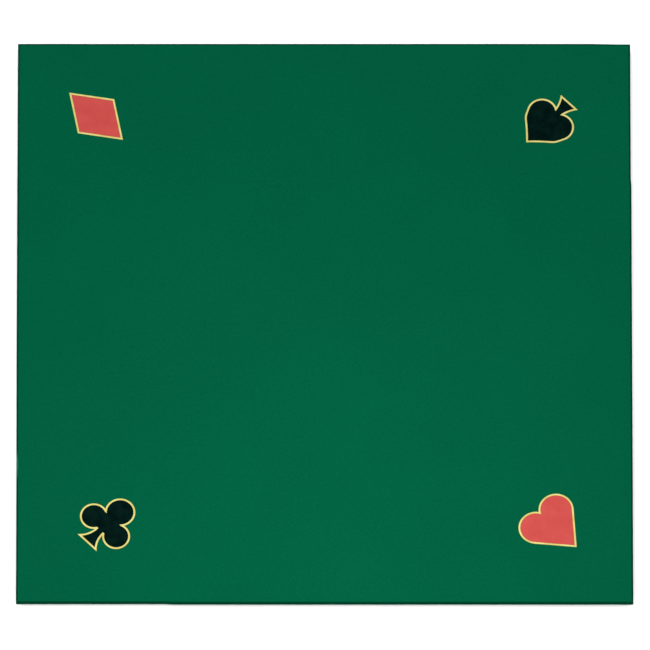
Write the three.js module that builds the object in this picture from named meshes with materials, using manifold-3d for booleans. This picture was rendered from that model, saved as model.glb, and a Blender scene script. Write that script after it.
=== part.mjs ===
// Folding poker table top: two padded, felt-covered half boards that fold face to face.
// Millimetres, +Z up. X runs along the fold line, -Y is the front half, +Y is the rear half.
// The origin is under the middle of the open top, on the surface that its feet stand on.

import * as THREE from 'three';
import { mergeVertices } from 'three/addons/utils/BufferGeometryUtils.js';
import Module from 'manifold-3d';

const wasm = await Module();
wasm.setup();

// ---- driving dimensions ------------------------------------------------------------------

const TOP_SIDE = 864; // a 34 inch square when open
const FOOT_HEIGHT = 7;
const LINER_THICKNESS = 0.5;
const BOARD_THICKNESS = 5;
const TAPE_THICKNESS = 0.5;
const FOAM_THICKNESS = 1.5;
const FELT_THICKNESS = 1;
const FELT_TURN_UNDER = 24; // felt folded under the board along its three outer sides
const TAPE_WIDTH = 40; // hinge cloth glued to the felt's back, over each foam pad
const GAP = 0.25; // clearance between neighbours

// Heights of the layers, from the ground up.
const LINER_BASE = FOOT_HEIGHT;
const BOARD_BASE = LINER_BASE + LINER_THICKNESS;
const BOARD_TOP = BOARD_BASE + BOARD_THICKNESS;
const FOAM_TOP = BOARD_TOP + FOAM_THICKNESS;
const FELT_TOP = FOAM_TOP + FELT_THICKNESS;

const HALF_SIDE = TOP_SIDE / 2;
const CORE_SIDE = HALF_SIDE - FELT_THICKNESS - GAP; // outer edge of board, foam and tape
const LINER_SIDE = HALF_SIDE - FELT_TURN_UNDER - GAP;

// Screws.
const SHANK_RADIUS = 1.5;
const HOLE_RADIUS = 1.8;
const SCREW_TIP = BOARD_TOP - 1.25;
const HOLE_END = BOARD_TOP - 1;
const HEAD_FACE_SHARE = 0.7; // the flat of a screw head, as a share of its radius
const HEAD_RIM_SHARE = 0.45; // the straight rim, as a share of the head's height
const PLATE_SCREW_HEAD = { radius: 3, height: 1.5 };
const FOOT_SCREW_HEAD = { radius: 3.5, height: 2 };

// Feet, one near each corner of each half.
const FOOT_RADIUS = 10;
const FOOT_BASE_RADIUS = 8.25;
const FOOT_CHAMFER = 0.75;
const FOOT_RECESS_RADIUS = 4.25;
const FOOT_LEDGE = 4; // height of the ledge that the screw head pulls on
const FOOT_X = HALF_SIDE - 46;
const FOOT_Y = [58, HALF_SIDE - 46]; // distance from the fold line

// Slide bolts that lock the two halves flat, one near each end of the fold.
const BOLT_X = 260;
const BAR_WIDTH = 10;
const BAR_THICKNESS = 3.5;
const BAR_LENGTH = 88;
const BAR_SETBACK = 4; // from the fold line to the tip of the drawn-back bar
const PLATE_THICKNESS = 1;
const PLATE_WIDTH = 30;
const PLATE_LENGTH = 88;
const PLATE_SETBACK = 6;
const STRAP_THICKNESS = 1; // the bridges under the bar
const STRAP_SIDE_GAP = 0.5;
const STRAP_WALL = 1.5;
const STRAP_INNER = BAR_WIDTH / 2 + STRAP_SIDE_GAP;
const STRAP_OUTER = STRAP_INNER + STRAP_WALL;
const GUIDE_LENGTH = 8;
const GUIDE_SETBACKS = [10, 62]; // near side of each guide, from the fold line
const KNOB_LENGTH = 10;
const KNOB_WIDTH = 16;
const KNOB_SETBACK = 51;
const KEEPER_LENGTH = 12;
const KEEPER_SETBACK = 8;
const KEEPER_EAR = 18; // half the keeper's whole width
const PLATE_SCREW_X = 11;
const PLATE_SCREW_SETBACKS = [14, 86];
const KEEPER_SCREW_X = 13;

const PLATE_UNDERSIDE = LINER_BASE - PLATE_THICKNESS;
const BAR_TOP = PLATE_UNDERSIDE - GAP;
const BAR_UNDERSIDE = BAR_TOP - BAR_THICKNESS;
const STRAP_TOP = BAR_UNDERSIDE - GAP;
const STRAP_UNDERSIDE = STRAP_TOP - STRAP_THICKNESS;

// Card-suit marks, let into the felt and flush with it.
const MARK_DEPTH = 0.5;
const BORDER_WIDTH = 2.5;
const DIAMOND_LENGTH = 105.5;
const DIAMOND_WIDTH = 73.5;
const HEART_LOBE = { x: 19.75, y: 61, radius: 24.5 };
const SPADE_SHOULDER = { x: 16.5, y: 38, radius: 21.25 };
const SPADE_BELLY = { x: 10, y: 44.25, radius: 24.5 };
const SPADE_TIP = 87;
const SPADE_FLARE = 300; // radius of the hollow sides below the tip
const SPADE_STEM = { arcX: 53.5, arcY: 29.5, arcRadius: 47, footX: 16.25, height: 34 };
const CLUB_TOP = { x: 0, y: 65.5, radius: 21.25 };
const CLUB_SIDE = { x: 22, y: 35.5, radius: 19.5 };
const CLUB_STEM = { arcX: 40.25, arcY: 25.5, arcRadius: 33.25, footX: 19.25, height: 36 };
const CLUB_CENTRE = [[-12, 34], [-7, 27], [7, 27], [12, 34], [15, 51.5], [-15, 51.5]];
const ARC_SEGMENTS = 60;
const STEM_ARC_SEGMENTS = 120;
const FLARE_SEGMENTS = 360;

const FINISHES = {
  felt: { color: 0x026140, roughness: 0.95, metalness: 0 },
  board: { color: 0xa98a5f, roughness: 0.8, metalness: 0 },
  foam: { color: 0xe6e2d4, roughness: 1, metalness: 0 },
  tape: { color: 0x20241f, roughness: 0.9, metalness: 0 },
  liner: { color: 0x1b1c1e, roughness: 0.95, metalness: 0 },
  rubber: { color: 0x151515, roughness: 0.8, metalness: 0 },
  steel: { color: 0xb9bcc0, roughness: 0.35, metalness: 1 },
  black_plate: { color: 0x23262b, roughness: 0.45, metalness: 0.6 },
  gold_print: { color: 0xf0d98c, roughness: 0.7, metalness: 0 },
  red_print: { color: 0xd15350, roughness: 0.85, metalness: 0 },
  black_print: { color: 0x0a1f1d, roughness: 0.85, metalness: 0 },
};

// ---- shape helpers -----------------------------------------------------------------------

function toSolid(geometry) {
  const bare = geometry.clone();
  bare.deleteAttribute('normal');
  bare.deleteAttribute('uv');
  const merged = mergeVertices(bare, 1e-5);
  const vertProperties = new Float32Array(merged.attributes.position.array);
  const triVerts = new Uint32Array(merged.index.array);
  return new wasm.Manifold(new wasm.Mesh({ numProp: 3, vertProperties, triVerts }));
}

function toGeometry(solid) {
  const mesh = solid.getMesh();
  const geometry = new THREE.BufferGeometry();
  geometry.setAttribute('position', new THREE.Float32BufferAttribute(mesh.vertProperties, 3));
  geometry.setIndex(Array.from(mesh.triVerts));
  geometry.computeVertexNormals();
  return geometry;
}

function boxSolid([x0, x1], [y0, y1], [z0, z1]) {
  const geometry = new THREE.BoxGeometry(x1 - x0, y1 - y0, z1 - z0);
  geometry.translate((x0 + x1) / 2, (y0 + y1) / 2, (z0 + z1) / 2);
  return toSolid(geometry);
}

function roundSolid(x, y, radius, [z0, z1], segments) {
  const geometry = new THREE.CylinderGeometry(radius, radius, z1 - z0, segments);
  geometry.rotateX(Math.PI / 2);
  geometry.translate(x, y, (z0 + z1) / 2);
  return toSolid(geometry);
}

function prismSolid(points, [z0, z1]) {
  const shape = new THREE.Shape(points.map(([x, y]) => new THREE.Vector2(x, y)));
  const geometry = new THREE.ExtrudeGeometry(shape, { depth: z1 - z0, bevelEnabled: false });
  geometry.translate(0, 0, z0);
  return toSolid(geometry);
}

// A body of revolution about Z from a closed profile of [radius, height] pairs.
function turnedGeometry(profile, segments) {
  const closed = [...profile, profile[0]].map(([r, z]) => new THREE.Vector2(r, z));
  const geometry = new THREE.LatheGeometry(closed, segments);
  geometry.rotateX(Math.PI / 2);
  return geometry;
}

function unite(solids) {
  return solids.reduce((whole, solid) => whole.add(solid));
}

function cut(solid, tools) {
  return tools.reduce((rest, tool) => rest.subtract(tool), solid);
}

// ---- the model ---------------------------------------------------------------------------

const tableTop = new THREE.Group();

function addPiece(name, geometry, finish, [x, y, z] = [0, 0, 0]) {
  const mesh = new THREE.Mesh(geometry, new THREE.MeshStandardMaterial(FINISHES[finish]));
  mesh.name = name;
  mesh.position.set(x, y, z);
  tableTop.add(mesh);
}

// The two halves mirror each other in the fold line.
const HALVES = [
  { name: 'front', sign: -1, marks: ['club', 'heart'] },
  { name: 'rear', sign: 1, marks: ['diamond', 'spade'] },
];

// The span in Y between two distances from the fold line, on the given half.
function spanY(sign, near, far) {
  return sign > 0 ? [near, far] : [-far, -near];
}

function footPlaces(sign) {
  return FOOT_Y.flatMap((y) => [[-FOOT_X, sign * y], [FOOT_X, sign * y]]);
}

function plateScrewPlaces(boltX) {
  return PLATE_SCREW_SETBACKS.flatMap((y) => [
    [boltX - PLATE_SCREW_X, -y],
    [boltX + PLATE_SCREW_X, -y],
  ]);
}

function keeperScrewPlaces(boltX) {
  const y = KEEPER_SETBACK + KEEPER_LENGTH / 2;
  return [[boltX - KEEPER_SCREW_X, y], [boltX + KEEPER_SCREW_X, y]];
}

const BOLTS = [
  { name: 'left', x: -BOLT_X },
  { name: 'right', x: BOLT_X },
];

function screwPlaces(half) {
  const boltScrews = half.name === 'front' ? plateScrewPlaces : keeperScrewPlaces;
  return [...footPlaces(half.sign), ...BOLTS.flatMap((bolt) => boltScrews(bolt.x))];
}

function screwHoles(places, z0, z1) {
  return places.map(([x, y]) => roundSolid(x, y, HOLE_RADIUS, [z0, z1], 12));
}

// ---- card-suit marks ---------------------------------------------------------------------

// Each suit stands upright on y = 0. A positive inset moves its whole outline inwards.

// The heart's point: the outer tangents of its two lobes, which meet on y = 0.
function straightPoint({ x, y, radius }, inset, depth) {
  const halfAngle = Math.atan2(x, y) + Math.asin(radius / Math.hypot(x, y));
  const touchX = x + (radius - inset) * Math.cos(halfAngle);
  const touchY = y - (radius - inset) * Math.sin(halfAngle);
  const tip = inset / Math.sin(halfAngle);
  return prismSolid([[0, tip], [touchX, touchY], [x, y], [-x, y], [-touchX, touchY]], depth);
}

// Both circles of a mirrored pair.
function roundPair({ x, y, radius }, inset, depth) {
  return [-x, x].map((side) => roundSolid(side, y, radius - inset, depth, ARC_SEGMENTS));
}

// What lies between two circles and their common tangent, on both sides of the mark.
function bridgePair(a, b, inset, depth) {
  const reach = Math.hypot(b.x - a.x, b.y - a.y);
  const lean = Math.acos((a.radius - b.radius) / reach);
  const angle = Math.atan2(b.y - a.y, b.x - a.x) - lean;
  const touch = ({ x, y, radius }) =>
    [x + (radius - inset) * Math.cos(angle), y + (radius - inset) * Math.sin(angle)];
  const right = [[a.x, a.y], touch(a), touch(b), [b.x, b.y]];
  const left = right.map(([x, y]) => [-x, y]).reverse();
  return [prismSolid(right, depth), prismSolid(left, depth)];
}

// The spade's point: hollow arcs that touch its belly circles and meet at its tip.
function flaredPoint({ x, y, radius }, inset, depth) {
  const reach = Math.hypot(x, y - SPADE_TIP);
  const across = (reach ** 2 + SPADE_FLARE ** 2 - (SPADE_FLARE + radius) ** 2) / (2 * reach * SPADE_FLARE);
  const angle = Math.atan2(y - SPADE_TIP, x) + Math.acos(across);
  const arcX = SPADE_FLARE * Math.cos(angle);
  const arcY = SPADE_TIP + SPADE_FLARE * Math.sin(angle);
  const share = (radius - inset) / (SPADE_FLARE + radius);
  const touch = [x + (arcX - x) * share, y + (arcY - y) * share];
  const arcRadius = SPADE_FLARE + inset;
  const tip = arcY - Math.sqrt(arcRadius ** 2 - arcX ** 2);
  const wedge = [[0, tip], [-touch[0], touch[1]], [-x, y], [x, y], touch];
  const hollows = [-arcX, arcX].map((side) =>
    roundSolid(side, arcY, arcRadius, [depth[0] - 1, depth[1] + 1], FLARE_SEGMENTS));
  return cut(prismSolid(wedge, depth), hollows);
}

// A stem on y = 0 that narrows upwards between two hollow arcs.
function stemSolid({ arcX, arcY, arcRadius, footX, height }, inset, depth) {
  const sides = [-arcX, arcX].map((x) =>
    roundSolid(x, arcY, arcRadius + inset, depth, STEM_ARC_SEGMENTS));
  return cut(boxSolid([-footX, footX], [inset, height], depth), sides);
}

const SUITS = {
  diamond(inset, depth) {
    const slope = Math.hypot(DIAMOND_LENGTH, DIAMOND_WIDTH);
    const halfLength = DIAMOND_LENGTH / 2 - (inset * slope) / DIAMOND_WIDTH;
    const halfWidth = DIAMOND_WIDTH / 2 - (inset * slope) / DIAMOND_LENGTH;
    const middle = DIAMOND_LENGTH / 2;
    const corners = [
      [0, middle - halfLength],
      [halfWidth, middle],
      [0, middle + halfLength],
      [-halfWidth, middle],
    ];
    return prismSolid(corners, depth);
  },
  heart(inset, depth) {
    return unite([
      ...roundPair(HEART_LOBE, inset, depth),
      straightPoint(HEART_LOBE, inset, depth),
    ]);
  },
  spade(inset, depth) {
    return unite([
      ...roundPair(SPADE_SHOULDER, inset, depth),
      ...roundPair(SPADE_BELLY, inset, depth),
      ...bridgePair(SPADE_SHOULDER, SPADE_BELLY, inset, depth),
      flaredPoint(SPADE_BELLY, inset, depth),
      stemSolid(SPADE_STEM, inset, depth),
    ]);
  },
  club(inset, depth) {
    return unite([
      roundSolid(CLUB_TOP.x, CLUB_TOP.y, CLUB_TOP.radius - inset, depth, ARC_SEGMENTS),
      ...roundPair(CLUB_SIDE, inset, depth),
      prismSolid(CLUB_CENTRE, depth),
      stemSolid(CLUB_STEM, inset, depth),
    ]);
  },
};

// The middle of each mark, and the turn from upright that points its top at the table's middle.
const MARKS = {
  diamond: { x: -321.5, y: 318.5, turn: 46, height: DIAMOND_LENGTH, fill: 'red_print' },
  spade: { x: 314.5, y: 309, turn: 135.5, height: SPADE_TIP, fill: 'black_print' },
  club: { x: -301.5, y: -309.5, turn: -44.75, height: 86.5, fill: 'black_print' },
  heart: { x: 323, y: -316.5, turn: 44.5, height: 85.5, fill: 'red_print' },
};

function markSolid(suit, inset, depth) {
  const { x, y, turn, height } = MARKS[suit];
  const upright = SUITS[suit](inset, depth).translate([0, -height / 2, 0]);
  return upright.rotate([0, 0, turn]).translate([x, y, 0]);
}

function addMark(suit) {
  const depth = [FELT_TOP - MARK_DEPTH, FELT_TOP];
  const cutDepth = [depth[0] - 1, depth[1] + 1];
  const border = markSolid(suit, 0, depth).subtract(markSolid(suit, BORDER_WIDTH, cutDepth));
  const fill = markSolid(suit, BORDER_WIDTH + GAP, depth);
  addPiece(`${suit}_border`, toGeometry(border), 'gold_print');
  addPiece(`${suit}_fill`, toGeometry(fill), MARKS[suit].fill);
}

// ---- the layers of one half --------------------------------------------------------------

function addBoard(half) {
  const block = boxSolid(
    [-CORE_SIDE, CORE_SIDE],
    spanY(half.sign, GAP, CORE_SIDE),
    [BOARD_BASE, BOARD_TOP],
  );
  const holes = screwHoles(screwPlaces(half), BOARD_BASE - 1, HOLE_END);
  addPiece(`${half.name}_board`, toGeometry(cut(block, holes)), 'board');
}

function addHingeTape(half) {
  const strip = boxSolid(
    [-CORE_SIDE, CORE_SIDE],
    spanY(half.sign, GAP, TAPE_WIDTH),
    [FOAM_TOP - TAPE_THICKNESS, FOAM_TOP],
  );
  addPiece(`${half.name}_hinge_tape`, toGeometry(strip), 'tape');
}

// The pad is thinner where the hinge tape lies on it.
function addFoam(half) {
  const pad = boxSolid(
    [-CORE_SIDE, CORE_SIDE],
    spanY(half.sign, GAP, CORE_SIDE),
    [BOARD_TOP, FOAM_TOP],
  );
  const rabbet = boxSolid(
    [-HALF_SIDE, HALF_SIDE],
    spanY(half.sign, -1, TAPE_WIDTH + GAP),
    [FOAM_TOP - TAPE_THICKNESS, FELT_TOP],
  );
  addPiece(`${half.name}_foam_pad`, toGeometry(pad.subtract(rabbet)), 'foam');
}

// The felt covers the top, wraps the three outer edges and turns under the board.
function addFelt(half) {
  const outer = boxSolid(
    [-HALF_SIDE, HALF_SIDE],
    spanY(half.sign, GAP, HALF_SIDE),
    [BOARD_BASE - FELT_THICKNESS, FELT_TOP],
  );
  const wall = HALF_SIDE - FELT_THICKNESS;
  const hollow = boxSolid([-wall, wall], spanY(half.sign, -1, wall), [BOARD_BASE, FOAM_TOP]);
  const hem = HALF_SIDE - FELT_TURN_UNDER;
  const underside = boxSolid([-hem, hem], spanY(half.sign, -1, hem), [0, BOARD_BASE + 1]);
  const pockets = half.marks.map((suit) =>
    markSolid(suit, -GAP, [FELT_TOP - MARK_DEPTH, FELT_TOP + 1]));
  const cover = cut(outer, [hollow, underside, ...pockets]);
  addPiece(`${half.name}_felt_cover`, toGeometry(cover), 'felt');
}

function addLiner(half) {
  const sheet = boxSolid(
    [-LINER_SIDE, LINER_SIDE],
    spanY(half.sign, GAP, LINER_SIDE),
    [LINER_BASE, BOARD_BASE],
  );
  const holes = screwHoles(screwPlaces(half), LINER_BASE - 1, BOARD_BASE + 1);
  addPiece(`${half.name}_liner`, toGeometry(cut(sheet, holes)), 'liner');
}

// ---- feet and screws ---------------------------------------------------------------------

// A pan-head screw whose head seats at z = seat, pointing up.
function screwGeometry({ radius, height }, seat) {
  const profile = [
    [0, seat - height],
    [radius * HEAD_FACE_SHARE, seat - height],
    [radius, seat - height * HEAD_RIM_SHARE],
    [radius, seat],
    [SHANK_RADIUS, seat],
    [SHANK_RADIUS, SCREW_TIP - SHANK_RADIUS],
    [0, SCREW_TIP],
  ];
  return turnedGeometry(profile, 12);
}

function footGeometry() {
  const profile = [
    [HOLE_RADIUS, FOOT_LEDGE],
    [FOOT_RECESS_RADIUS, FOOT_LEDGE],
    [FOOT_RECESS_RADIUS, 0],
    [FOOT_BASE_RADIUS, 0],
    [FOOT_BASE_RADIUS + FOOT_CHAMFER, FOOT_CHAMFER],
    [FOOT_RADIUS, FOOT_HEIGHT],
    [HOLE_RADIUS, FOOT_HEIGHT],
  ];
  return turnedGeometry(profile, 20);
}

function addFeet(half) {
  footPlaces(half.sign).forEach(([x, y], index) => {
    addPiece(`${half.name}_foot_${index + 1}`, footGeometry(), 'rubber', [x, y, 0]);
    const screw = screwGeometry(FOOT_SCREW_HEAD, FOOT_LEDGE);
    addPiece(`${half.name}_foot_screw_${index + 1}`, screw, 'steel', [x, y, 0]);
  });
}

// ---- slide bolts -------------------------------------------------------------------------

// A strap that bridges the bar, between two distances from the fold line.
function strapSolid(boltX, [y0, y1], top) {
  const outer = boxSolid(
    [boltX - STRAP_OUTER, boltX + STRAP_OUTER],
    [y0, y1],
    [STRAP_UNDERSIDE, top],
  );
  const inner = boxSolid(
    [boltX - STRAP_INNER, boltX + STRAP_INNER],
    [y0 - 1, y1 + 1],
    [STRAP_TOP, top + 1],
  );
  return outer.subtract(inner);
}

function addBoltPlate(bolt) {
  const plate = boxSolid(
    [bolt.x - PLATE_WIDTH / 2, bolt.x + PLATE_WIDTH / 2],
    spanY(-1, PLATE_SETBACK, PLATE_SETBACK + PLATE_LENGTH),
    [PLATE_UNDERSIDE, LINER_BASE],
  );
  const guides = GUIDE_SETBACKS.map((near) =>
    strapSolid(bolt.x, spanY(-1, near, near + GUIDE_LENGTH), PLATE_UNDERSIDE));
  const holes = screwHoles(plateScrewPlaces(bolt.x), PLATE_UNDERSIDE - 1, LINER_BASE + 1);
  const drilled = cut(unite([plate, ...guides]), holes);
  addPiece(`${bolt.name}_bolt_plate`, toGeometry(drilled), 'black_plate');
}

function addBoltBar(bolt) {
  const bar = boxSolid(
    [bolt.x - BAR_WIDTH / 2, bolt.x + BAR_WIDTH / 2],
    spanY(-1, BAR_SETBACK, BAR_SETBACK + BAR_LENGTH),
    [BAR_UNDERSIDE, BAR_TOP],
  );
  const knob = boxSolid(
    [bolt.x - KNOB_WIDTH / 2, bolt.x + KNOB_WIDTH / 2],
    spanY(-1, KNOB_SETBACK, KNOB_SETBACK + KNOB_LENGTH),
    [STRAP_UNDERSIDE, BAR_TOP - 1],
  );
  addPiece(`${bolt.name}_bolt_bar`, toGeometry(bar.add(knob)), 'steel');
}

function addKeeper(bolt) {
  const length = [KEEPER_SETBACK, KEEPER_SETBACK + KEEPER_LENGTH];
  const ears = [[-KEEPER_EAR, -STRAP_INNER], [STRAP_INNER, KEEPER_EAR]].map(([x0, x1]) =>
    boxSolid([bolt.x + x0, bolt.x + x1], length, [PLATE_UNDERSIDE, LINER_BASE]));
  const keeper = unite([strapSolid(bolt.x, length, PLATE_UNDERSIDE), ...ears]);
  const holes = screwHoles(keeperScrewPlaces(bolt.x), PLATE_UNDERSIDE - 1, LINER_BASE + 1);
  addPiece(`${bolt.name}_keeper`, toGeometry(cut(keeper, holes)), 'black_plate');
}

function addPlateScrews(name, places) {
  places.forEach(([x, y], index) => {
    const screw = screwGeometry(PLATE_SCREW_HEAD, PLATE_UNDERSIDE);
    addPiece(`${name}_screw_${index + 1}`, screw, 'steel', [x, y, 0]);
  });
}

// ---- assembly ----------------------------------------------------------------------------

for (const half of HALVES) {
  addBoard(half);
  addHingeTape(half);
  addFoam(half);
  addFelt(half);
  addLiner(half);
  addFeet(half);
  half.marks.forEach(addMark);
}

for (const bolt of BOLTS) {
  addBoltPlate(bolt);
  addBoltBar(bolt);
  addKeeper(bolt);
  addPlateScrews(`${bolt.name}_plate`, plateScrewPlaces(bolt.x));
  addPlateScrews(`${bolt.name}_keeper`, keeperScrewPlaces(bolt.x));
}

export default tableTop;
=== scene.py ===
"""A folding poker table top: the looks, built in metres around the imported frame."""

import math

import bmesh
import bpy
from mathutils import Matrix, Vector, noise


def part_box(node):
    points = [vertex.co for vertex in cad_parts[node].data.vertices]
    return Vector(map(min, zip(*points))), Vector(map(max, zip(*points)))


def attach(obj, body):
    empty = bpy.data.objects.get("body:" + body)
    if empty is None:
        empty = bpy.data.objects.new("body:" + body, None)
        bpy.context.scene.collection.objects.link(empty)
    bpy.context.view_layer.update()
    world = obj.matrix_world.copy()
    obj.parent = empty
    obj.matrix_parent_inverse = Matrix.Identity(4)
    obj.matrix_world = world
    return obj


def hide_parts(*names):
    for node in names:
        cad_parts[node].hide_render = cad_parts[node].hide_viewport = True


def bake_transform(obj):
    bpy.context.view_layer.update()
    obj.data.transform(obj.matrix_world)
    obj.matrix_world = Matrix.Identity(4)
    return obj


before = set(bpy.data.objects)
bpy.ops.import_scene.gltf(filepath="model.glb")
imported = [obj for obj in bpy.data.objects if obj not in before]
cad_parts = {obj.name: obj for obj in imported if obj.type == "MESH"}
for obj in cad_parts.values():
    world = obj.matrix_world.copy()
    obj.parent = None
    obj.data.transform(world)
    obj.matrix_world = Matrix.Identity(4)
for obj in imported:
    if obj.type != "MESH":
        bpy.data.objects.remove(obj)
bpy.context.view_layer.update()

MM = 0.001

# ---- places and sizes, all read from the frame ---------------------------------------------

FELT_LOW, FELT_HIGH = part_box("front_felt_cover")
SIDE = FELT_HIGH.x  # half the open top's side
FELT_TOP = FELT_HIGH.z
FELT_UNDERSIDE = FELT_LOW.z
LINER_LOW, LINER_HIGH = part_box("front_liner")
LINER_FACE = LINER_LOW.z
LINER_SIDE = LINER_HIGH.x
HEM_WIDTH = SIDE - LINER_SIDE
TAPE_LOW, TAPE_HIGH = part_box("front_hinge_tape")
FOOT_LOW, FOOT_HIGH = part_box("front_foot_1")

# The felt and the hinge cloth bend over this much on each side of the fold line.
CREASE = 0.75 * MM
HALVES = {"front": -1, "rear": 1}
SIDES = ("left", "right")


# ---- mesh helpers --------------------------------------------------------------------------


def new_object(name, mesh, material):
    """A smooth-shaded object in the scene with one material."""
    piece = bpy.data.objects.new(name, mesh)
    bpy.context.scene.collection.objects.link(piece)
    mesh.materials.clear()
    mesh.materials.append(material)
    mesh.polygons.foreach_set("use_smooth", [True] * len(mesh.polygons))
    return piece


def mesh_from(name, points, faces):
    mesh = bpy.data.meshes.new(name)
    mesh.from_pydata([tuple(p) for p in points], [], faces)
    mesh.update()
    return mesh


def grid_faces(columns, rows):
    """The faces of a grid whose points run along its rows."""
    faces = []
    for j in range(rows - 1):
        for i in range(columns - 1):
            first = j * columns + i
            faces.append((first, first + 1, first + columns + 1, first + columns))
    return faces


def add_bar(body, place, length, width, thickness, ease, segments):
    """Adds a small bar with eased edges to a bmesh."""
    size = Matrix.Diagonal((length, width, thickness, 1))
    made = bmesh.ops.create_cube(body, size=1, matrix=place @ size)
    edges = {e for v in made["verts"] for e in v.link_edges}
    bmesh.ops.bevel(body, geom=list(edges), offset=ease, segments=segments, affect="EDGES")


def finished_mesh(name, body):
    """The finished mesh of a bmesh, which is freed."""
    mesh = bpy.data.meshes.new(name)
    body.to_mesh(mesh)
    body.free()
    return mesh


def smooth_step(t):
    t = min(max(t, 0.0), 1.0)
    return t * t * (3 - 2 * t)


def ripple(x, y, length, seed):
    """Smooth noise from -1 to 1 with features of about the given length."""
    return noise.noise(Vector((x / length, y / length, seed * 7.31)))


def lathe(name, profile, segments):
    """A closed body of revolution about Z from (radius, height) pairs."""
    points, faces, rings = [], [], []
    for radius, height in profile:
        if radius < 1e-9:
            rings.append([len(points)])
            points.append((0, 0, height))
            continue
        rings.append([len(points) + i for i in range(segments)])
        for i in range(segments):
            angle = 2 * math.pi * i / segments
            points.append((radius * math.cos(angle), radius * math.sin(angle), height))
    for low, high in zip(rings, rings[1:]):
        for i in range(segments):
            j = (i + 1) % segments
            if len(low) == 1:
                faces.append((low[0], high[j], high[i]))
            elif len(high) == 1:
                faces.append((low[i], low[j], high[0]))
            else:
                faces.append((low[i], low[j], high[j], high[i]))
    return mesh_from(name, points, faces)


def rounded_corners(profile, radius, steps=4):
    """The (radius, height) profile with each inner corner rounded off."""
    result = [profile[0]]
    for before, corner, after in zip(profile, profile[1:], profile[2:]):
        a, b, c = Vector(before), Vector(corner), Vector(after)
        cut = min(radius, (a - b).length * 0.45, (c - b).length * 0.45)
        start, end = b + (a - b).normalized() * cut, b + (c - b).normalized() * cut
        for i in range(steps + 1):
            t = i / steps
            result.append(tuple(start.lerp(b, t).lerp(b.lerp(end, t), t)))
    return result + [profile[-1]]


def bevel_edges(piece, width):
    modifier = piece.modifiers.new("eased edges", "BEVEL")
    modifier.width = width
    modifier.segments = 2
    modifier.limit_method = "ANGLE"
    modifier.angle_limit = math.radians(35)
    modifier.harden_normals = True
    piece.data.polygons.foreach_set("use_smooth", [True] * len(piece.data.polygons))


# ---- materials -----------------------------------------------------------------------------


def srgb(red, green, blue):
    """A colour given in 0 to 255 display values, as linear RGBA."""
    def linear(value):
        value /= 255
        return value / 12.92 if value <= 0.04045 else ((value + 0.055) / 1.055) ** 2.4

    return (linear(red), linear(green), linear(blue), 1.0)


# Painted shade on the rolled edge and walls: it starts at the first of these distances inside the outline
# and is full at the second.
SHADE_START = 2.0 * MM
SHADE_FULL = 0.6 * MM
# The painted shade reaches this much further in on the sides and rear than on the front.
SIDE_SHADE_REACH = 1.3 * MM

# A painted highlight on the left edge, as lengths along and in from it.
GLINT_MIDDLE = -0.51 * SIDE
GLINT_HALF_LENGTH = 22 * MM
GLINT_WIDTH = 3 * MM


class Finish:
    """A Principled material with short helpers for its procedural nodes."""

    def __init__(self, name, **sockets):
        self.material = bpy.data.materials.new(name)
        self.material.use_nodes = True
        self.tree = self.material.node_tree
        self.shader = self.tree.nodes["Principled BSDF"]
        for socket, value in sockets.items():
            self.shader.inputs[socket.replace("_", " ")].default_value = value

    def node(self, kind, links=None, **settings):
        made = self.tree.nodes.new(kind)
        for key, value in settings.items():
            setattr(made, key, value)
        for socket, source in (links or {}).items():
            if isinstance(source, bpy.types.NodeSocket):
                self.tree.links.new(source, made.inputs[socket])
            else:
                made.inputs[socket].default_value = source
        return made

    def coordinates(self, stretch=(1, 1, 1), uv=None):
        if uv:
            source = self.node("ShaderNodeUVMap", uv_map=uv).outputs["UV"]
        else:
            source = self.node("ShaderNodeTexCoord").outputs["Object"]
        return self.node("ShaderNodeMapping", {"Vector": source, "Scale": stretch}).outputs["Vector"]

    def noise(self, where, scale, detail=3.0, roughness=0.55):
        links = {"Vector": where, "Scale": scale, "Detail": detail, "Roughness": roughness}
        return self.node("ShaderNodeTexNoise", links).outputs["Fac"]

    def cells(self, where, scale):
        return self.node("ShaderNodeTexVoronoi", {"Vector": where, "Scale": scale}).outputs["Distance"]

    def remap(self, value, low, high, to_low=0.0, to_high=1.0):
        links = {"Value": value, "From Min": low, "From Max": high, "To Min": to_low, "To Max": to_high}
        return self.node("ShaderNodeMapRange", links).outputs["Result"]

    def blend(self, factor, first, second, mode="MIX"):
        mixer = self.node("ShaderNodeMix", data_type="RGBA", blend_type=mode)
        for index, source in ((0, factor), (6, first), (7, second)):
            if isinstance(source, bpy.types.NodeSocket):
                self.tree.links.new(source, mixer.inputs[index])
            else:
                mixer.inputs[index].default_value = source
        return mixer.outputs[2]

    def combine(self, first, second, operation="ADD"):
        return self.node("ShaderNodeMath", {0: first, 1: second}, operation=operation).outputs[0]

    def drive(self, socket, source):
        self.tree.links.new(source, self.shader.inputs[socket])

    def bump(self, height, distance, strength=1.0):
        links = {"Height": height, "Distance": distance, "Strength": strength}
        self.drive("Normal", self.node("ShaderNodeBump", links).outputs["Normal"])


def felt_fibres(finish, where):
    """Short matted fibres: three sets of stretched noise lying in different directions."""
    layers = []
    for turn in (10, 70, 130):
        links = {"Vector": where, "Rotation": (0, 0, math.radians(turn)), "Scale": (1, 4.5, 1)}
        lying = finish.node("ShaderNodeMapping", links).outputs["Vector"]
        links = {"Vector": lying, "Scale": 560.0, "Detail": 5.0, "Roughness": 0.7, "Distortion": 1.6}
        layers.append(finish.node("ShaderNodeTexNoise", links).outputs["Fac"])
    return finish.combine(finish.combine(layers[0], layers[1], "MAXIMUM"), layers[2], "MAXIMUM")


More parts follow.
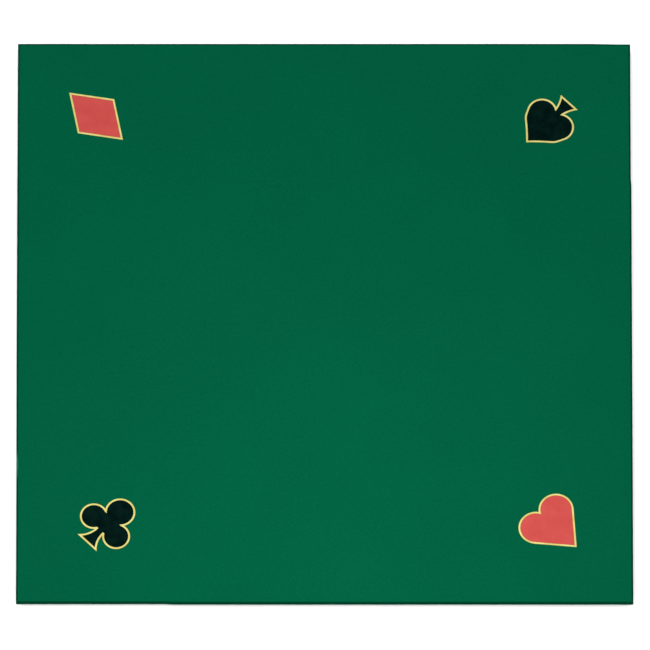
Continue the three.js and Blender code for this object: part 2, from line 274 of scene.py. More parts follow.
def edge_shade(finish, where):
    """1 on the flat top, lower on the rolled edge and walls where shade is painted into the felt, higher
    again on the hem.
    """
    parts = finish.node("ShaderNodeSeparateXYZ", {"Vector": where})
    across = finish.combine(parts.outputs["X"], 0.0, "ABSOLUTE")
    sides = finish.combine(finish.combine(across, parts.outputs["Y"], "MAXIMUM"), SIDE_SHADE_REACH)
    front = finish.combine(parts.outputs["Y"], -1.0, "MULTIPLY")
    distance = finish.combine(sides, front, "MAXIMUM")
    painted_rim_shade = finish.remap(distance, SIDE - SHADE_START, SIDE - SHADE_FULL, 1.0, 0.45)
    hem_start = SIDE + FELT_TOP - FELT_UNDERSIDE
    return finish.combine(painted_rim_shade, finish.remap(distance, hem_start - 4 * MM, hem_start + 2 * MM, 0, 0.5))


def painted_glint_mask(finish, where):
    """1 on a small painted highlight on the left edge, 0 elsewhere."""
    parts = finish.node("ShaderNodeSeparateXYZ", {"Vector": where})
    across = finish.combine(finish.combine(parts.outputs["X"], SIDE), 0.0, "ABSOLUTE")
    along = finish.combine(finish.combine(parts.outputs["Y"], -GLINT_MIDDLE), 0.0, "ABSOLUTE")
    on_edge = finish.remap(across, 0.3 * GLINT_WIDTH, GLINT_WIDTH, 1, 0)
    near_middle = finish.remap(along, 0.2 * GLINT_HALF_LENGTH, GLINT_HALF_LENGTH, 1, 0)
    return finish.combine(on_edge, near_middle, "MULTIPLY")


def felt_finish():
    felt = Finish("green felt", Roughness=1.0, Sheen_Weight=0.03, Sheen_Roughness=0.5)
    felt.shader.inputs["Specular IOR Level"].default_value = 0.0
    felt.shader.inputs["Sheen Tint"].default_value = srgb(10, 150, 105)
    where = felt.coordinates(uv="cloth")
    broad = felt.noise(where, 5, 2)
    mottle = felt.noise(where, 260, 3)
    fibres = felt_fibres(felt, where)
    base = felt.blend(felt.remap(broad, 0.35, 0.65), srgb(2, 69, 45), srgb(2, 72, 48))
    worn = felt.blend(felt.remap(mottle, 0.3, 0.7, 0, 0.6), base, srgb(2, 79, 52))
    # Painted shade in the nap's hollows and painted highlight on the fibre tips, from the same fibres that
    # make the bump.
    hollow_shade = felt.blend(felt.remap(fibres, 0.44, 0.62, 0.75, 0), worn, srgb(0, 50, 32))
    tip_highlight = felt.blend(felt.remap(fibres, 0.64, 0.78, 0, 0.7), hollow_shade, srgb(8, 108, 74))
    # Painted shade: the felt's colour is darkened on its rolled edge and walls.
    shade = edge_shade(felt, where)
    rim_shaded_felt = felt.blend(1.0, tip_highlight, shade, "MULTIPLY")
    # A painted highlight: a small lighter patch on the left edge, broken up by fine noise.
    glint_breakup = felt.remap(felt.noise(where, 1100, 4), 0.35, 0.65, 0.3, 1.0)
    painted_glint = felt.combine(painted_glint_mask(felt, where), glint_breakup, "MULTIPLY")
    felt.drive("Base Color", felt.blend(painted_glint, rim_shaded_felt, srgb(46, 118, 92)))
    felt.bump(felt.combine(fibres, felt.combine(mottle, 0.5, "MULTIPLY")), 0.35 * MM, 0.8)
    return felt.material


def print_finish(name, light, dark, grain=0.35):
    """Ink pressed into the felt: the nap still shows through it."""
    ink = Finish(name, Roughness=0.9)
    ink.shader.inputs["Specular IOR Level"].default_value = 0.0
    where = ink.coordinates()
    nap = ink.noise(where, 1300, 4, 0.7)
    patch = ink.noise(where, 60, 2)
    base = ink.blend(ink.remap(patch, 0.35, 0.65), light, dark)
    ink.drive("Base Color", ink.blend(ink.remap(nap, 0.45, 0.75, 0, grain), base, dark))
    ink.bump(nap, 0.15 * MM, 0.4)
    return ink.material


def hardboard_finish():
    board = Finish("hardboard", Roughness=0.75)
    where = board.coordinates()
    flat = board.coordinates(stretch=(1, 1, 6))
    fibre = board.noise(flat, 700, 5, 0.7)
    patch = board.noise(where, 30, 3)
    base = board.blend(board.remap(patch, 0.3, 0.7), srgb(128, 92, 58), srgb(150, 112, 74))
    dark = board.remap(fibre, 0.4, 0.7, 0, 0.6)
    board.drive("Base Color", board.blend(dark, base, srgb(92, 62, 38)))
    board.bump(fibre, 0.2 * MM, 0.5)
    return board.material


def foam_finish():
    foam = Finish("polyurethane foam", Roughness=1.0)
    foam.shader.inputs["Specular IOR Level"].default_value = 0.1
    where = foam.coordinates()
    bubbles = foam.cells(where, 1500)
    patch = foam.noise(where, 40, 2)
    base = foam.blend(foam.remap(patch, 0.3, 0.7), srgb(201, 194, 169), srgb(210, 205, 183))
    # Painted shade in the open cells of the foam.
    pit_shade = foam.remap(bubbles, 0.0, 0.35, 0.55, 0)
    foam.drive("Base Color", foam.blend(pit_shade, base, srgb(178, 164, 126)))
    foam.bump(bubbles, 0.4 * MM, 0.7)
    return foam.material


def weave_height(finish, where, scale):
    """Plain weave: two crossed sets of threads, about 3.18 to the metre for each unit of scale."""
    waves = []
    for direction in ("X", "Y"):
        links = {"Vector": where, "Scale": scale, "Distortion": 0.4}
        wave = finish.node("ShaderNodeTexWave", links, bands_direction=direction)
        waves.append(wave.outputs["Fac"])
    return finish.combine(waves[0], waves[1], "MULTIPLY")


def book_cloth_finish():
    cloth = Finish("hinge cloth", Roughness=0.9)
    cloth.shader.inputs["Specular IOR Level"].default_value = 0.15
    where = cloth.coordinates(uv="cloth")
    weave = weave_height(cloth, where, 118.41)
    patch = cloth.noise(where, 50, 2)
    base = cloth.blend(cloth.remap(patch, 0.3, 0.7), srgb(20, 40, 31), srgb(28, 50, 40))
    # Painted shade in the gaps between the threads.
    gap_shade = cloth.remap(weave, 0.1, 0.6, 0.7, 0)
    cloth.drive("Base Color", cloth.blend(gap_shade, base, srgb(6, 16, 12)))
    cloth.bump(weave, 0.2 * MM, 0.6)
    return cloth.material


def liner_finish():
    liner = Finish("spun-bonded liner", Roughness=0.85)
    liner.shader.inputs["Specular IOR Level"].default_value = 0.25
    where = liner.coordinates(uv="cloth")
    dimples = liner.cells(where, 420)
    fibres = liner.noise(where, 2200, 4, 0.75)
    patch = liner.noise(where, 14, 3)
    base = liner.blend(liner.remap(patch, 0.3, 0.7), srgb(30, 31, 34), srgb(40, 41, 45))
    # Painted shade in the dimples.
    base = liner.blend(liner.remap(dimples, 0.05, 0.3, 0.6, 0), base, srgb(16, 16, 18))
    stray = liner.remap(fibres, 0.5, 0.75, 0, 0.4)
    liner.drive("Base Color", liner.blend(stray, base, srgb(66, 68, 74)))
    liner.bump(liner.combine(dimples, liner.combine(fibres, 0.3, "MULTIPLY")), 0.2 * MM, 0.6)
    return liner.material


def rubber_finish():
    rubber = Finish("foot rubber", Roughness=0.7)
    where = rubber.coordinates()
    grain = rubber.noise(where, 1800, 3)
    dust = rubber.noise(where, 160, 4)
    dusty = rubber.remap(dust, 0.5, 0.75, 0, 0.5)
    rubber.drive("Base Color", rubber.blend(dusty, srgb(26, 26, 27), srgb(58, 57, 55)))
    rubber.drive("Roughness", rubber.remap(dust, 0.3, 0.7, 0.6, 0.85))
    rubber.bump(grain, 0.08 * MM, 0.5)
    return rubber.material


def plated_steel_finish(name, stretch):
    steel = Finish(name, Metallic=1.0)
    streaks = steel.noise(steel.coordinates(stretch=stretch), 900, 4, 0.6)
    stain = steel.noise(steel.coordinates(), 120, 3)
    base = steel.blend(steel.remap(stain, 0.35, 0.7), srgb(198, 200, 204), srgb(172, 172, 170))
    dull = steel.remap(streaks, 0.5, 0.8, 0, 0.4)
    steel.drive("Base Color", steel.blend(dull, base, srgb(120, 120, 122)))
    steel.drive("Roughness", steel.remap(streaks, 0.3, 0.7, 0.24, 0.42))
    steel.bump(streaks, 0.03 * MM, 0.4)
    return steel.material


def enamel_finish():
    enamel = Finish("black enamel", Roughness=0.4)
    where = enamel.coordinates()
    peel = enamel.noise(where, 700, 2)
    chips = enamel.noise(where, 260, 5, 0.7)
    chipped = enamel.remap(chips, 0.66, 0.74)
    enamel.drive("Base Color", enamel.blend(chipped, srgb(22, 23, 26), srgb(96, 92, 88)))
    enamel.drive("Roughness", enamel.remap(peel, 0.3, 0.7, 0.32, 0.5))
    enamel.bump(peel, 0.05 * MM, 0.5)
    return enamel.material


FELT = felt_finish()
GOLD = print_finish("gold ink", srgb(178, 168, 104), srgb(163, 149, 82), 0.3)
RED = print_finish("red ink", srgb(158, 62, 59), srgb(153, 58, 55), 0.25)
BLACK = print_finish("black ink", srgb(4, 20, 17), srgb(1, 11, 9))
HARDBOARD = hardboard_finish()
FOAM = foam_finish()
BOOK_CLOTH = book_cloth_finish()
LINER = liner_finish()
RUBBER = rubber_finish()
BRUSHED_STEEL = plated_steel_finish("plated bar", (1, 0.06, 1))
SCREW_STEEL = plated_steel_finish("plated screw", (1, 1, 1))
ENAMEL = enamel_finish()


# ---- the felt cover ------------------------------------------------------------------------

TOP_RADIUS = 2.2 * MM
CORNER_RADIUS = 0.8 * MM
BOTTOM_RADIUS = 1.2 * MM
MARK_PROUD = 0.13 * MM  # the printed marks stand about this much above the felt
FELT_SHELL = 0.9 * MM
FLAT_HEIGHT = FELT_TOP - MARK_PROUD
RIM = 9 * MM  # the flat grid stops this far inside the outline
GRID_STEPS = 44  # from the middle of the flat grid to its edge
REAR_SLACK = 0.75 * MM  # how far the outline is drawn in at the rear right corner
FRONT_PULL = 0.7 * MM  # and along the left side's front
CORNER_FAN = (22.5, 45, 67.5)  # the directions between two sides, in degrees
HEM_INSETS = (4, 9, 14, 19, 23.6)  # the hem's points, in mm in from the outline
DOUBLED_HEM = 0.7 * MM  # how far the hem drops where it is doubled at a corner


def felt_lines(limit, extra):
    """Mirrored grid lines out to the limit, closer together at the given distances."""
    even = [limit * i / GRID_STEPS for i in range(1, GRID_STEPS + 1)]
    near_edge = [limit - 2 * MM, limit - 5 * MM]
    spread = [v for v in even if all(abs(v - e) > 2 * MM for e in extra + near_edge)]
    half = sorted(set(spread + extra + near_edge))
    return [-v for v in reversed(half)] + [0.0] + half


def edge_pull(x, y):
    """How far the outline is drawn in: at the rear right corner and along the left side's front."""
    slack = REAR_SLACK * smooth_step((x - SIDE + 60 * MM) / (45 * MM)) if y > SIDE / 2 else 0.0
    tight = FRONT_PULL * smooth_step(0.12 - y / SIDE) if x < -SIDE / 2 and y < 0 else 0.0
    wave = 0.1 * MM * (1 + ripple(x, y, 0.14, 3))
    return min(slack + tight + wave, 0.85 * MM)


def felt_height(x, y):
    """The felt's surface: faint swells of the padding and a hair of a dip at the fold."""
    swell = 0.05 * ripple(x, y, 0.12, 1) + 0.03 * ripple(x, y, 0.035, 2)
    dip = 0.16 * math.exp(-((y / (2.2 * MM)) ** 2))
    return FLAT_HEIGHT + (swell - dip) * MM


def hem_profile():
    """(outward distance from the flat grid, height) from the top's rim round to the hem's edge."""
    top, under = FLAT_HEIGHT, FELT_UNDERSIDE
    steps = [(RIM - TOP_RADIUS - 2 * MM, top), (RIM - TOP_RADIUS, top)]
    for i in range(1, 6):
        angle = math.pi / 2 * i / 5
        reach, drop = math.sin(angle) * TOP_RADIUS, (1 - math.cos(angle)) * TOP_RADIUS
        steps.append((RIM - TOP_RADIUS + reach, top - drop))
    steps.append((RIM, (top - TOP_RADIUS + under + BOTTOM_RADIUS) / 2))
    for i in range(5):
        angle = math.pi / 2 * i / 4
        reach, drop = math.cos(angle) * BOTTOM_RADIUS, math.sin(angle) * BOTTOM_RADIUS
        steps.append((RIM - BOTTOM_RADIUS + reach, under + BOTTOM_RADIUS - drop))
    for inset in HEM_INSETS:
        steps.append((RIM - inset * MM, under))
    return steps


def rim_path(lines_x, lines_y):
    """The flat grid's boundary, anticlockwise, as (column, row, normal turn) with a fan at corners."""
    last_x, last_y = len(lines_x) - 1, len(lines_y) - 1
    path = []
    sides = [
        [(i, 0) for i in range(last_x + 1)],
        [(last_x, j) for j in range(last_y + 1)],
        [(last_x - i, last_y) for i in range(last_x + 1)],
        [(0, last_y - j) for j in range(last_y + 1)],
    ]
    for quarter, side in enumerate(sides):
        turn = quarter * 90 - 90
        path += [(i, j, turn) for i, j in side]
        corner = side[-1]
        path += [(*corner, turn + step) for step in CORNER_FAN]
    return path


def rim_point(x, y, turn, out):
    """A boundary point of the flat grid, moved out over the rolled edge or in under the hem."""
    if out < 0:
        shrink = 1 + out / (SIDE - RIM)
        return x * shrink, y * shrink
    # A corner moves out along both its sides, less the small arc that its fan turns on.
    arc = min(CORNER_RADIUS, out) if abs(abs(x) - abs(y)) < 1e-9 else out
    angle = math.radians(turn)
    x += math.copysign(out - arc, x) + math.cos(angle) * arc
    y += math.copysign(out - arc, y) + math.sin(angle) * arc
    return x, y


def corner_fold(x, y):
    """1 where the hem is doubled at a mitred corner, 0 away from it."""
    near_x = smooth_step(1 - (SIDE - abs(x)) / HEM_WIDTH)
    near_y = smooth_step(1 - (SIDE - abs(y)) / HEM_WIDTH)
    mitre = math.exp(-(((abs(x) - abs(y)) / (1.2 * MM)) ** 2))
    return near_x * near_y * (1 - 0.8 * mitre)


def hem_point(base_x, base_y, turn, out, height):
    """A point of the rolled edge, wall or hem, from the flat grid's boundary point beside it."""
    x, y = rim_point(base_x, base_y, turn, out)
    pull = edge_pull(base_x, base_y) * smooth_step(out / (RIM - TOP_RADIUS))
    x -= math.copysign(pull, x) if abs(x) > SIDE - 2 * HEM_WIDTH else 0
    y -= math.copysign(pull, y) if abs(y) > SIDE - 2 * HEM_WIDTH else 0
    z = height + 0.05 * MM * ripple(x, y, 0.05, 4)
    # The dip at the fold carries on over the rolled edge.
    if height > FELT_TOP - TOP_RADIUS:
        z -= FLAT_HEIGHT - felt_height(0.1, base_y)
    if height < FELT_UNDERSIDE + BOTTOM_RADIUS:
        z -= DOUBLED_HEM * corner_fold(x, y)
    return x, y, z


def felt_mesh():
    """The felt as one sheet, ring by ring round the flat top, and each point's place in the flat cloth."""
    lines_x = felt_lines(SIDE - RIM, [])
    lines_y = felt_lines(SIDE - RIM, [CREASE / 2, CREASE, 1.6 * MM, 3 * MM, 5.5 * MM])
    flat = [(x, y) for y in lines_y for x in lines_x]
    points = [(x, y, felt_height(x, y)) for x, y in flat]
    faces = grid_faces(len(lines_x), len(lines_y))
    path = rim_path(lines_x, lines_y)
    rows = [lines_y[j] for _, j, _ in path]
    at_fold = [abs(y + after) / 2 < CREASE for y, after in zip(rows, rows[1:] + rows[:1])]
    ring = [j * len(lines_x) + i for i, j, _ in path]
    length, before = 0.0, (0.0, felt_height(0, SIDE - RIM))
    for out, height in hem_profile():
        length += math.dist(before, (out, height))
        before = (out, height)
        new_ring = [len(points) + k for k in range(len(path))]
        for i, j, turn in path:
            base_x, base_y = lines_x[i], lines_y[j]
            angle = math.radians(turn)
            flat.append((base_x + math.cos(angle) * length, base_y + math.sin(angle) * length))
            points.append(hem_point(base_x, base_y, turn, out, height))
        wall = height < FELT_TOP - 0.75 * TOP_RADIUS
        for k in range(len(path)):
            if wall and at_fold[k]:
                continue
            n = (k + 1) % len(path)
            loop = (ring[k], new_ring[k], new_ring[n], ring[n])
            faces.append(loop[:3] if ring[k] == ring[n] else loop)
        ring = new_ring
    return mesh_from("felt_cover", points, faces), flat


def felt_cover():
    """One sheet: flat top, rolled edge, side wall and mitred hem. Its walls are slit at the fold."""
    mesh, flat = felt_mesh()
    add_cloth_map(mesh, flat)
    merge_close_points(mesh)
    piece = new_object("felt_cover", mesh, FELT)
    thicken(piece, FELT_SHELL)
    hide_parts("front_felt_cover", "rear_felt_cover")
    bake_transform(piece)


def add_cloth_map(mesh, flat):
    """A UV map in metres of the flat cloth, so that its texture turns with it at the edges."""
    layer = mesh.uv_layers.new(name="cloth")
    for loop in mesh.loops:
        layer.data[loop.index].uv = flat[loop.vertex_index]


def merge_close_points(mesh):
    """Joins the points that meet where a corner's fan of faces narrows to nothing."""
    body = bmesh.new()
    body.from_mesh(mesh)
    bmesh.ops.remove_doubles(body, verts=body.verts, dist=0.01 * MM)
    body.to_mesh(mesh)
    body.free()


def thicken(piece, thickness):
    modifier = piece.modifiers.new("thickness", "SOLIDIFY")
    modifier.thickness = thickness
    modifier.offset = -1
    modifier.use_even_offset = False


# ---- hinge cloth, foam and liner -----------------------------------------------------------


def cloth_grid(name, lines_x, lines_y, height, material, facing=1):
    """A sheet over the grid lines, at height(x, y), facing up or down."""
    points = [(x, y, height(x, y)) for y in lines_y for x in lines_x]
    faces = grid_faces(len(lines_x), len(lines_y))
    if facing < 0:
        faces = [face[::-1] for face in faces]
    mesh = mesh_from(name, points, faces)
    add_cloth_map(mesh, [(x, y) for x, y, _ in points])
    return new_object(name, mesh, material)


def even_lines(low, high, step):
    """Lines from low to high, about a step apart."""
    count = max(1, round((high - low) / step))
    return [low + (high - low) * i / count for i in range(count + 1)]


def hinge_cloth():
    reach = -TAPE_LOW.y
    lines_y = [-reach, -reach / 2, -10 * MM, -4 * MM, -CREASE, -CREASE / 2]
    lines_y += [0.0] + [-y for y in reversed(lines_y)]

    def height(x, y):
        return TAPE_HIGH.z - 0.05 * MM + 0.02 * MM * ripple(x, y, 0.02, 5)

    lines_x = even_lines(TAPE_LOW.x + MM, TAPE_HIGH.x - MM, 12 * MM)
    piece = cloth_grid("hinge_cloth", lines_x, lines_y, height, BOOK_CLOTH)
    thicken(piece, 0.4 * MM)
    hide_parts("front_hinge_tape", "rear_hinge_tape")
    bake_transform(piece)


FOAM_SQUEEZE = 0.3  # how much thinner a pad is at its two cut ends


def foam_section(low, high):
    """A pad's outline as (distance from the fold, height), with the shallow step for the hinge cloth."""
    near, far = min(abs(low.y), abs(high.y)), max(abs(low.y), abs(high.y))
    tape_reach = -TAPE_LOW.y
    step = high.z - (TAPE_HIGH.z - TAPE_LOW.z)
    return [
        (near + 0.25 * MM, low.z),
        (near, low.z + 0.3 * (step - low.z)),
        (near, low.z + 0.7 * (step - low.z)),
        (near + 0.25 * MM, step),
        (tape_reach + 0.2 * MM, step),
        (tape_reach + 0.6 * MM, high.z - 0.1 * MM),
        (far - 0.4 * MM, high.z - 0.1 * MM),
        (far, high.z - 0.35 * (high.z - low.z)),
        (far, low.z + 0.35 * (high.z - low.z)),
        (far - 0.4 * MM, low.z),
    ]


def foam_pad(half, sign):
    """A thin pad whose cut edges bulge a little between the board and the felt."""
    low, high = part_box(half + "_foam_pad")
    section = foam_section(low, high)
    lines_x = even_lines(low.x, high.x, 9 * MM)
    middle = (low.z + high.z) / 2
    points, faces = [], []
    for x in lines_x:
        squeeze = FOAM_SQUEEZE if x in (lines_x[0], lines_x[-1]) else 0.0
        for y, z in section:
            wobble = 0.06 * MM * ripple(x, y, 0.008, 6 + sign)
            edge = y + wobble if y < -TAPE_LOW.y else y - abs(wobble)
            points.append((x, sign * edge, z + (middle - z) * squeeze))
    count = len(section)
    for i in range(len(lines_x) - 1):
        for k in range(count):
            n = (k + 1) % count
            faces.append((i * count + k, (i + 1) * count + k, (i + 1) * count + n, i * count + n))
    last = (len(lines_x) - 1) * count
    faces += [tuple(range(count)), tuple(reversed(range(last, last + count)))]
    if sign < 0:
        faces = [face[::-1] for face in faces]
    piece = new_object(half + "_foam", mesh_from(half + "_foam", points, faces), FOAM)
    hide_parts(half + "_foam_pad")
    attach(piece, half + "_half")


STAPLE_PITCH = 44 * MM
LINER_OVERLAP = 9 * MM  # how far the liner reaches over the hem
LINER_SHELL = 0.35 * MM
SEAM_SETBACK = 3 * MM  # from the fold line to the liner's folded edge
LINER_STEP = (-6, -4.7, -3.5, -2.2, -1, 2, 5.5)  # grid lines at the step over the hem, in mm
LINER_GRID = 5.5 * MM
LINER_SCALLOP = 1.2 * MM  # how far the liner's edge draws back between two staples


def scallop(along):
    """0 at each staple, 1 midway between two."""
    return abs(math.sin(math.pi * along / STAPLE_PITCH))


def hardware_boxes():
    """The CAD boxes of everything that is screwed on over the liner."""
    feet = [f"{half}_foot_{i}" for half in HALVES for i in range(1, 5)]
    bolts = [side + part for side in SIDES for part in ("_bolt_plate", "_keeper")]
    return [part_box(node) for node in feet + bolts]


HARDWARE = hardware_boxes()


def clear_of_hardware(x, y):
    """0 under a foot, bolt plate or keeper, rising to 1 well away from them all."""
    nearest = min(
        math.hypot(max(low.x - x, x - high.x, 0), max(low.y - y, y - high.y, 0))
        for low, high in HARDWARE
    )
    return smooth_step((nearest - 4 * MM) / (45 * MM))


def liner_height(x, y):
    """The liner steps down over the hem, puckers between its staples and hangs slack further in."""
    edge = max(abs(x), abs(y))
    along = y if abs(x) > abs(y) else x
    over_hem = smooth_step((edge - LINER_SIDE + 6 * MM) / (5 * MM))
    ledge = FELT_UNDERSIDE - LINER_SHELL - 0.1 * MM
    pucker = smooth_step((edge - LINER_SIDE + 25 * MM) / (30 * MM)) * scallop(along)
    room = smooth_step((LINER_SIDE - edge) / (60 * MM)) * smooth_step(abs(y) / (60 * MM))
    wrinkles = 0.5 + 0.9 * ripple(x, 1.6 * y, 0.11, 8) + 0.35 * ripple(x, y, 0.04, 9)
    slack = max(wrinkles, 0.0) * room * clear_of_hardware(x, y)
    return LINER_FACE + (ledge - LINER_FACE) * over_hem - (0.35 * pucker + slack) * MM


def liner_lines(low):
    """Grid lines from low out to the liner's edge, closer together where it steps over the hem."""
    step = [LINER_SIDE + offset * MM for offset in LINER_STEP]
    return even_lines(low, LINER_SIDE - 10 * MM, LINER_GRID) + step + [LINER_SIDE + LINER_OVERLAP]


def liner(half, sign):
    reach = LINER_SIDE + LINER_OVERLAP
    right = liner_lines(LINER_GRID)
    lines_x = [-x for x in reversed(right)] + [0.0] + right
    lines_y = liner_lines(SEAM_SETBACK)
    lines_y = lines_y if sign > 0 else [-y for y in reversed(lines_y)]
    piece = cloth_grid(half + "_liner_cloth", lines_x, lines_y, liner_height, LINER, facing=-1)
    for vertex in piece.data.vertices:
        x, y = vertex.co.x, vertex.co.y
        if abs(x) > reach - MM:
            vertex.co.x -= math.copysign(LINER_SCALLOP * scallop(y), x)
        if abs(y) > reach - MM:
            vertex.co.y -= math.copysign(LINER_SCALLOP * scallop(x), y)
    thicken(piece, LINER_SHELL)
    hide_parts(half + "_liner")
    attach(piece, half + "_half")


# ---- staples -------------------------------------------------------------------------------

STAPLE_LENGTH = 10 * MM
STAPLE_WIDTH = 1.2 * MM
STAPLE_THICKNESS = 0.5 * MM
STAPLE_SKEW = 7  # degrees


def staple_places(sign):
    """(x, y, turn) of each staple along one half's three hems and along its fold edge."""
    line = LINER_SIDE + LINER_OVERLAP - 4 * MM
    steps = int(line // STAPLE_PITCH)
    places = [(i * STAPLE_PITCH, sign * line, 0) for i in range(-steps, steps + 1)]
    for i in range(1, steps + 1):
        places += [(side * line, sign * i * STAPLE_PITCH, 90) for side in (-1, 1)]
    seam = SEAM_SETBACK + 5 * MM
    along_fold = [(i * STAPLE_PITCH, sign * seam, 0) for i in range(-steps, steps + 1)]
    return places + [place for place in along_fold if not bolt_covers_fold(place[0])]


def bolt_covers_fold(x):
    """True where a bolt plate or keeper covers the fold edge."""
    boxes = [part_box(side + "_keeper") for side in SIDES]
    return any(low.x - STAPLE_LENGTH < x < high.x + STAPLE_LENGTH for low, high in boxes)


def staples(half, sign):
    body = bmesh.new()
    for index, (x, y, turn) in enumerate(staple_places(sign)):
        z = liner_height(x, y) - 0.1 * MM
        skew = math.radians(turn + STAPLE_SKEW * ripple(x, y, 0.01, index))
        place = Matrix.Translation((x, y, z)) @ Matrix.Rotation(skew, 4, "Z")
        add_bar(body, place, STAPLE_LENGTH, STAPLE_WIDTH, STAPLE_THICKNESS, 0.18 * MM, 2)
    piece = new_object(half + "_staples", finished_mesh(half + "_staples", body), SCREW_STEEL)
    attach(piece, half + "_half")


# ---- feet and screws -----------------------------------------------------------------------

FOOT_HOLE = 1.8 * MM  # radius
FOOT_RECESS = 4.25 * MM  # radius
FOOT_SEAT = 4 * MM  # the screw head's seat above the table
FOOT_SCREW_HEAD = 2 * MM  # how deep the heads are
BOLT_SCREW_HEAD = 1.5 * MM
SHANK_RADIUS = 1.5 * MM
COPY_TURN = 37  # degrees from one copy to the next, so that no two crosses lie alike


def foot_mesh():
    """A tapered foot with a hole for its screw and a recess for the head, open downwards."""
    height, radius = FOOT_HIGH.z, (FOOT_HIGH.x - FOOT_LOW.x) / 2
    profile = [
        (FOOT_HOLE, height),
        (FOOT_HOLE, FOOT_SEAT),
        (FOOT_RECESS, FOOT_SEAT),
        (FOOT_RECESS, 0),
        (8.4 * MM, 0),
        (9.1 * MM, 1.2 * MM),
        (radius - 0.4 * MM, height - 1.6 * MM),
        (radius, height - 1.2 * MM),
        (radius, height),
    ]
    rounded = rounded_corners(profile, 0.5 * MM)
    return lathe("foot", rounded + [rounded[0]], 56)


def cross_recess(depth, reach):
    """A tapered cross, to be cut out of a screw head that faces down."""
    points = []
    for arm, half_width, z in ((reach, 0.45 * MM, -0.4 * MM), (0.45 * reach, 0.35 * MM, depth)):
        for quarter in range(4):
            turn = Matrix.Rotation(math.pi / 2 * quarter, 2)
            for corner in ((arm, -half_width), (arm, half_width), (half_width, half_width)):
                points.append((*(turn @ Vector(corner)), z))
    count = len(points) // 2
    faces = [tuple(reversed(range(count))), tuple(range(count, 2 * count))]
    for i in range(count):
        n = (i + 1) % count
        faces.append((i, n, n + count, i + count))
    return mesh_from("recess", points, faces)


def screw_mesh(radius, head, tip):
    """A pan-head screw with its head's underside at z = 0 and a cross recess, pointing up."""
    profile = [(0, -head)]
    for i in range(1, 7):
        angle = math.pi / 2 * i / 6
        profile.append((radius * math.sin(angle), -head * (0.35 + 0.65 * math.cos(angle))))
    shank_end = tip - SHANK_RADIUS
    profile += [(radius, 0), (SHANK_RADIUS, 0), (SHANK_RADIUS, shank_end), (0, tip)]
    screw = new_object("screw_blank", lathe("screw_blank", profile, 40), SCREW_STEEL)
    cutter = new_object("recess_tool", cross_recess(0.6 * head, radius * 0.6), SCREW_STEEL)
    cutter.location.z = -head
    modifier = screw.modifiers.new("recess", "BOOLEAN")
    modifier.object = cutter
    modifier.operation = "DIFFERENCE"
    modifier.solver = "EXACT"
    bpy.context.view_layer.update()
    made = bpy.data.meshes.new_from_object(screw.evaluated_get(bpy.context.evaluated_depsgraph_get()))
    bpy.data.objects.remove(screw)
    bpy.data.objects.remove(cutter)
    merge_close_points(made)
    return made


def on_nodes(mesh, material, pairs, height):
    """Copies of a mesh standing where CAD nodes do: pairs of (node, body)."""
    for index, (node, body) in enumerate(pairs):
        low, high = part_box(node)
        piece = new_object(node + "_fine", mesh.copy(), material)
        piece.data.transform(Matrix.Rotation(math.radians(COPY_TURN * index), 4, "Z"))
        middle = (low + high) / 2
        piece.data.transform(Matrix.Translation((middle.x, middle.y, height)))
        piece.data.set_sharp_from_angle(angle=math.radians(40))
        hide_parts(node)
        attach(piece, body)


def screws(pairs, head):
    """One shape of screw, sized to the first of its CAD nodes, with a head this deep."""
    low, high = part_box(pairs[0][0])
    mesh = screw_mesh((high.x - low.x) / 2, head, high.z - low.z - head)
    on_nodes(mesh, SCREW_STEEL, pairs, low.z + head)


def feet_and_screws():
    halves = [(half, half + "_half") for half in HALVES]
    feet = [(f"{half}_foot_{i}", body) for half, body in halves for i in range(1, 5)]
    on_nodes(foot_mesh(), RUBBER, feet, 0)
    foot_screws = [(f"{half}_foot_screw_{i}", body) for half, body in halves for i in range(1, 5)]
    screws(foot_screws, FOOT_SCREW_HEAD)
    bolt_screws = [(f"{side}_plate_screw_{i}", "front_half") for side in SIDES for i in range(1, 5)]
    bolt_screws += [(f"{side}_keeper_screw_{i}", "rear_half") for side in SIDES for i in range(1, 3)]
    screws(bolt_screws, BOLT_SCREW_HEAD)


# ---- slide bolts and the other CAD nodes ---------------------------------------------------


def paint(node, material, ease=0.0):
    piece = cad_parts[node]
    piece.data.materials.clear()
    piece.data.materials.append(material)
    if ease:
        bevel_edges(piece, ease)


KNOB_MIDDLE = 36 * MM  # from the bar's front end
RIB_PITCH = 1.5 * MM
RIB_WIDTH = 0.8 * MM
RIB_THICKNESS = 0.6 * MM


def bolt_grip(side):
    """Five finger ribs across the underside of a bolt's knob."""
    low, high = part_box(side + "_bolt_bar")
    middle = Vector(((low.x + high.x) / 2, low.y + KNOB_MIDDLE, low.z + 0.12 * MM))
    length = 0.9 * (high.x - low.x)
    body = bmesh.new()
    for i in range(-2, 3):
        place = Matrix.Translation(middle + Vector((0, i * RIB_PITCH, 0)))
        add_bar(body, place, length, RIB_WIDTH, RIB_THICKNESS, 0.25 * MM, 3)
    piece = new_object(side + "_bolt_grip", finished_mesh(side + "_bolt_grip", body), BRUSHED_STEEL)
    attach(piece, side + "_bolt")


def paint_nodes():
    for half in HALVES:
        paint(half + "_board", HARDBOARD, 0.3 * MM)
    for suit, ink in (("diamond", RED), ("heart", RED), ("spade", BLACK), ("club", BLACK)):
        paint(suit + "_border", GOLD)
        paint(suit + "_fill", ink)
    for side in SIDES:
        paint(side + "_bolt_plate", ENAMEL, 0.3 * MM)
        paint(side + "_keeper", ENAMEL, 0.3 * MM)
        paint(side + "_bolt_bar", BRUSHED_STEEL, 0.5 * MM)


# ---- studio --------------------------------------------------------------------------------

ELEVATION = math.radians(65.3)
LENS = 1650
SENSOR = 36
FIELD_WIDTH = 0.9124  # metres across the picture at the table top
AIM = Vector((0.0009, -0.0033, 0.011))  # the point in the middle of the picture
FLOOR_REACH = 60  # metres from the middle to each edge
FLOOR_HEIGHT = -0.2 * MM  # just below the feet
SKY_STRENGTH = 1.6


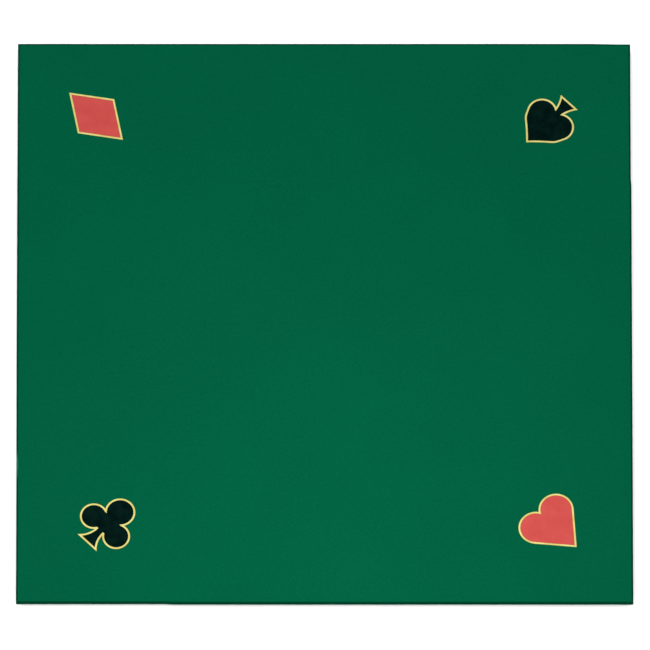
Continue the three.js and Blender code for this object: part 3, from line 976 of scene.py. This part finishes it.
def camera():
    data = bpy.data.cameras.new("camera")
    data.lens = LENS
    data.sensor_width = SENSOR
    distance = FIELD_WIDTH * LENS / SENSOR
    back = Vector((0, -math.cos(ELEVATION), math.sin(ELEVATION)))
    data.clip_start, data.clip_end = 1.0, 2 * distance
    piece = bpy.data.objects.new("camera", data)
    bpy.context.scene.collection.objects.link(piece)
    piece.location = AIM + back * distance
    piece.rotation_euler = (-back).to_track_quat("-Z", "Y").to_euler()
    bpy.context.scene.camera = piece


def floor():
    corners = [(x * FLOOR_REACH, y * FLOOR_REACH, 0) for x, y in ((-1, -1), (1, -1), (1, 1), (-1, 1))]
    mesh = mesh_from("floor", corners, [(0, 1, 2, 3)])
    paper = Finish("studio paper", Roughness=0.9)
    paper.shader.inputs["Specular IOR Level"].default_value = 0.0
    tone = paper.noise(paper.coordinates(), 3, 2)
    paper.drive("Base Color", paper.blend(tone, (0.93, 0.93, 0.93, 1), (0.95, 0.95, 0.95, 1)))
    piece = new_object("floor", mesh, paper.material)
    piece.location.z = FLOOR_HEIGHT


def soft_light(name, place, target, size, power):
    data = bpy.data.lights.new(name, "AREA")
    data.shape = "DISK"
    data.size = size
    data.energy = power
    piece = bpy.data.objects.new(name, data)
    bpy.context.scene.collection.objects.link(piece)
    piece.location = place
    piece.rotation_euler = (Vector(target) - Vector(place)).to_track_quat("-Z", "Y").to_euler()
    piece.visible_camera = False


def studio():
    camera()
    floor()
    soft_light("key", (-0.5, -0.9, 1.9), (0, 0, 0), size=1.4, power=10.4)
    soft_light("near", (0.01, -0.36, 0.55), (0, -0.324, 0), size=0.5, power=1.7)
    world = bpy.data.worlds.new("studio")
    world.use_nodes = True
    sky = world.node_tree.nodes["Background"]
    sky.inputs["Color"].default_value = (1, 1, 1, 1)
    sky.inputs["Strength"].default_value = SKY_STRENGTH
    bpy.context.scene.world = world
    bpy.context.scene.view_settings.view_transform = "Standard"


# ---- assembly ------------------------------------------------------------------------------

studio()
paint_nodes()
felt_cover()
hinge_cloth()
for half, sign in HALVES.items():
    foam_pad(half, sign)
    liner(half, sign)
    staples(half, sign)
feet_and_screws()
for side in SIDES:
    bolt_grip(side)
